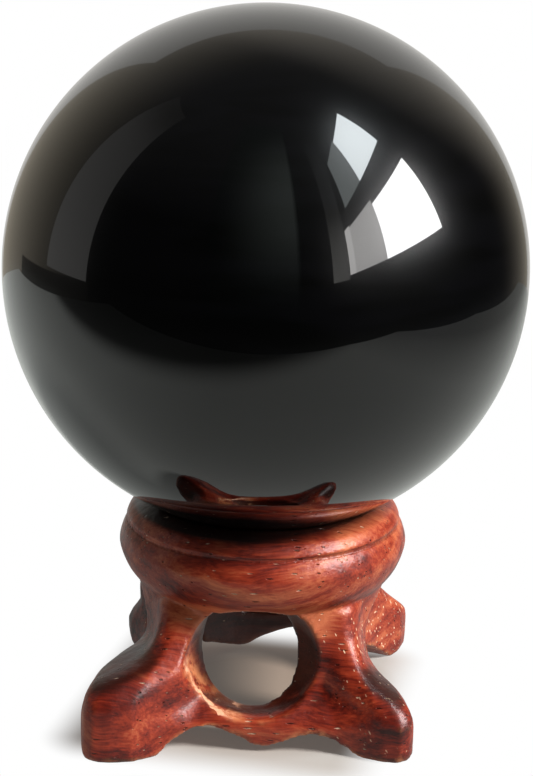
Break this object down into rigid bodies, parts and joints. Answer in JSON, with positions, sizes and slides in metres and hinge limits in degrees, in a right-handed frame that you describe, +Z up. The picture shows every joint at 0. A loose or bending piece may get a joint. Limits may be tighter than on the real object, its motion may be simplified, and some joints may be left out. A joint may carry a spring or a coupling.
{
  "type": "polished obsidian ball on a carved wooden stand",
  "caption": "Black polished obsidian ball resting in the dish of a small round-topped rosewood stand with carved diagonal feet and round side windows.",
  "frame": {"origin": "on the surface under the stand's feet, under the centre of the ball", "axes": "+Z up through the centre of the ball, -Y out of the stand's front face, +X to the viewer's right"},
  "size_m": [0.08, 0.08, 0.1104],
  "materials": {
    "obsidian": "mirror-polished black volcanic glass",
    "rosewood": "red-brown rosewood, hand-carved, rubbed with a satin lacquer"
  },
  "bodies": {
    "root": {"obsidian_sphere": "obsidian", "wood_stand": "rosewood"}
  },
  "joints": []
}
